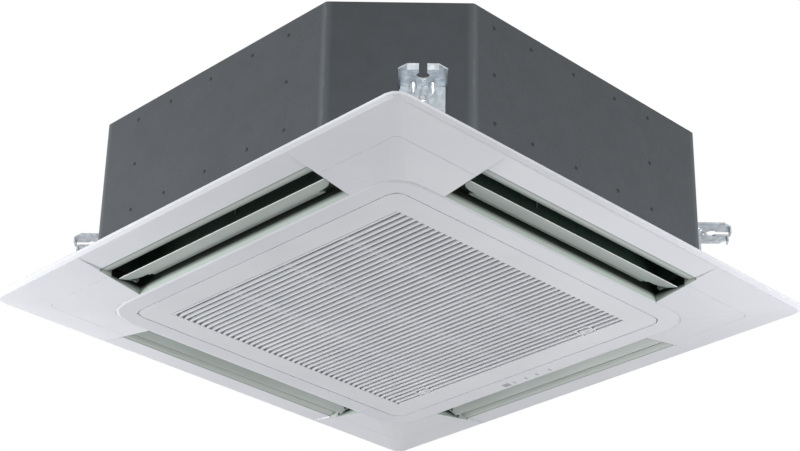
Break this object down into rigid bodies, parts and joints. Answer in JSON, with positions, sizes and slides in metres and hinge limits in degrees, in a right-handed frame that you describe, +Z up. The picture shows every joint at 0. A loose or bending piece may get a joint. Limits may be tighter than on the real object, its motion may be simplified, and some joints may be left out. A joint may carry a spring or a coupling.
{
  "type": "ceiling cassette air conditioner",
  "caption": "Square ceiling cassette air conditioner: white panel with slatted intake grille, hinged air louvres on each side and a dark eight-sided cabinet with hanging brackets.",
  "frame": {"origin": "centre of the panel's lowest face", "axes": "+Z up towards the ceiling slab, +Y towards the latches and the display, +X to the right of someone below who faces +Y"},
  "size_m": [0.95, 0.95, 0.293],
  "materials": {
    "panel_white": "satin white plastic",
    "grille_white": "satin white plastic",
    "louvre_grey": "satin pale grey plastic",
    "cabinet_grey": "dark grey coated sheet steel",
    "zinc": "galvanised steel",
    "foam_white": "white expanded foam",
    "foam_black": "black foam",
    "black_plastic": "black plastic",
    "fan_grey": "grey plastic",
    "filter_grey": "grey net",
    "smoked": "smoked plastic",
    "circuit_green": "circuit board",
    "copper": "bare copper",
    "brass": "bare brass",
    "fin_aluminium": "thin aluminium fins"
  },
  "bodies": {
    "housing": {"panel_frame": "panel_white", "corner_cover_back_right": "panel_white", "corner_cover_back_left": "panel_white", "corner_cover_front_left": "panel_white", "corner_cover_front_right": "panel_white", "panel_seal": "foam_black", "louvre_motor_right": "black_plastic", "louvre_bush_right": "black_plastic", "louvre_motor_back": "black_plastic", "louvre_bush_back": "black_plastic", "louvre_motor_left": "black_plastic", "louvre_bush_left": "black_plastic", "louvre_motor_front": "black_plastic", "louvre_bush_front": "black_plastic", "receiver_window": "smoked", "light_guide": "smoked", "cabinet_shell": "cabinet_grey", "top_plate": "cabinet_grey", "insulation_liner": "foam_black", "hanger_bracket_back_right": "zinc", "panel_bracket_back_right": "zinc", "panel_bolt_back_right": "zinc", "hanger_bracket_back_left": "zinc", "panel_bracket_back_left": "zinc", "panel_bolt_back_left": "zinc", "hanger_bracket_front_left": "zinc", "panel_bracket_front_left": "zinc", "panel_bolt_front_left": "zinc", "hanger_bracket_front_right": "zinc", "panel_bracket_front_right": "zinc", "panel_bolt_front_right": "zinc", "drain_pan": "foam_white", "bell_mouth": "black_plastic", "fan_motor": "black_plastic", "motor_mount": "zinc", "coil_fins": "fin_aluminium", "coil_end_back": "copper", "coil_end_left": "copper", "gas_pipe": "copper", "gas_nut": "brass", "liquid_pipe": "copper", "liquid_nut": "brass", "drain_pump": "black_plastic", "drain_hose": "foam_black", "drain_outlet": "black_plastic", "control_box": "zinc", "control_cover": "zinc", "circuit_board": "circuit_green"},
    "grille": {"intake_grille": "grille_white"},
    "filter": {"air_filter": "filter_grey"},
    "latch_left": {"grille_latch_left": "grille_white"},
    "latch_right": {"grille_latch_right": "grille_white"},
    "fan": {"turbo_fan": "fan_grey", "fan_shaft": "zinc", "fan_nut": "zinc"},
    "impeller": {"pump_impeller": "fan_grey"},
    "flap_right": {"louvre_right": "louvre_grey"},
    "flap_back": {"louvre_back": "louvre_grey"},
    "flap_left": {"louvre_left": "louvre_grey"},
    "flap_front": {"louvre_front": "louvre_grey"}
  },
  "joints": [
    {"name": "grille_hinge", "type": "hinge", "parent": "housing", "child": "grille", "pos_m": [0, -0.299, 0.0035], "axis": [-1, 0, 0], "range_deg": [0, 90]},
    {"name": "filter_lift", "type": "slide", "parent": "grille", "child": "filter", "axis": [0, 0, 1], "range_m": [0, 0.01]},
    {"name": "latch_left_slide", "type": "slide", "parent": "grille", "child": "latch_left", "axis": [0, -1, 0], "range_m": [0, 0.006]},
    {"name": "latch_right_slide", "type": "slide", "parent": "grille", "child": "latch_right", "axis": [0, -1, 0], "range_m": [0, 0.006]},
    {"name": "fan_spin", "type": "hinge", "parent": "housing", "child": "fan", "pos_m": [0, 0, 0.2], "axis": [0, 0, 1], "continuous": true},
    {"name": "pump_spin", "type": "hinge", "parent": "housing", "child": "impeller", "pos_m": [-0.29003, 0.29003, 0.1], "axis": [0, 0, 1], "continuous": true},
    {"name": "flap_right_hinge", "type": "hinge", "parent": "housing", "child": "flap_right", "pos_m": [0.3575, 0, 0.0215], "axis": [0, 1, 0], "range_deg": [-12, 45]},
    {"name": "flap_back_hinge", "type": "hinge", "parent": "housing", "child": "flap_back", "pos_m": [0, 0.3575, 0.0215], "axis": [-1, 0, 0], "range_deg": [-12, 45]},
    {"name": "flap_left_hinge", "type": "hinge", "parent": "housing", "child": "flap_left", "pos_m": [-0.3575, 0, 0.0215], "axis": [0, -1, 0], "range_deg": [-12, 45]},
    {"name": "flap_front_hinge", "type": "hinge", "parent": "housing", "child": "flap_front", "pos_m": [0, -0.3575, 0.0215], "axis": [1, 0, 0], "range_deg": [-12, 45]}
  ]
}
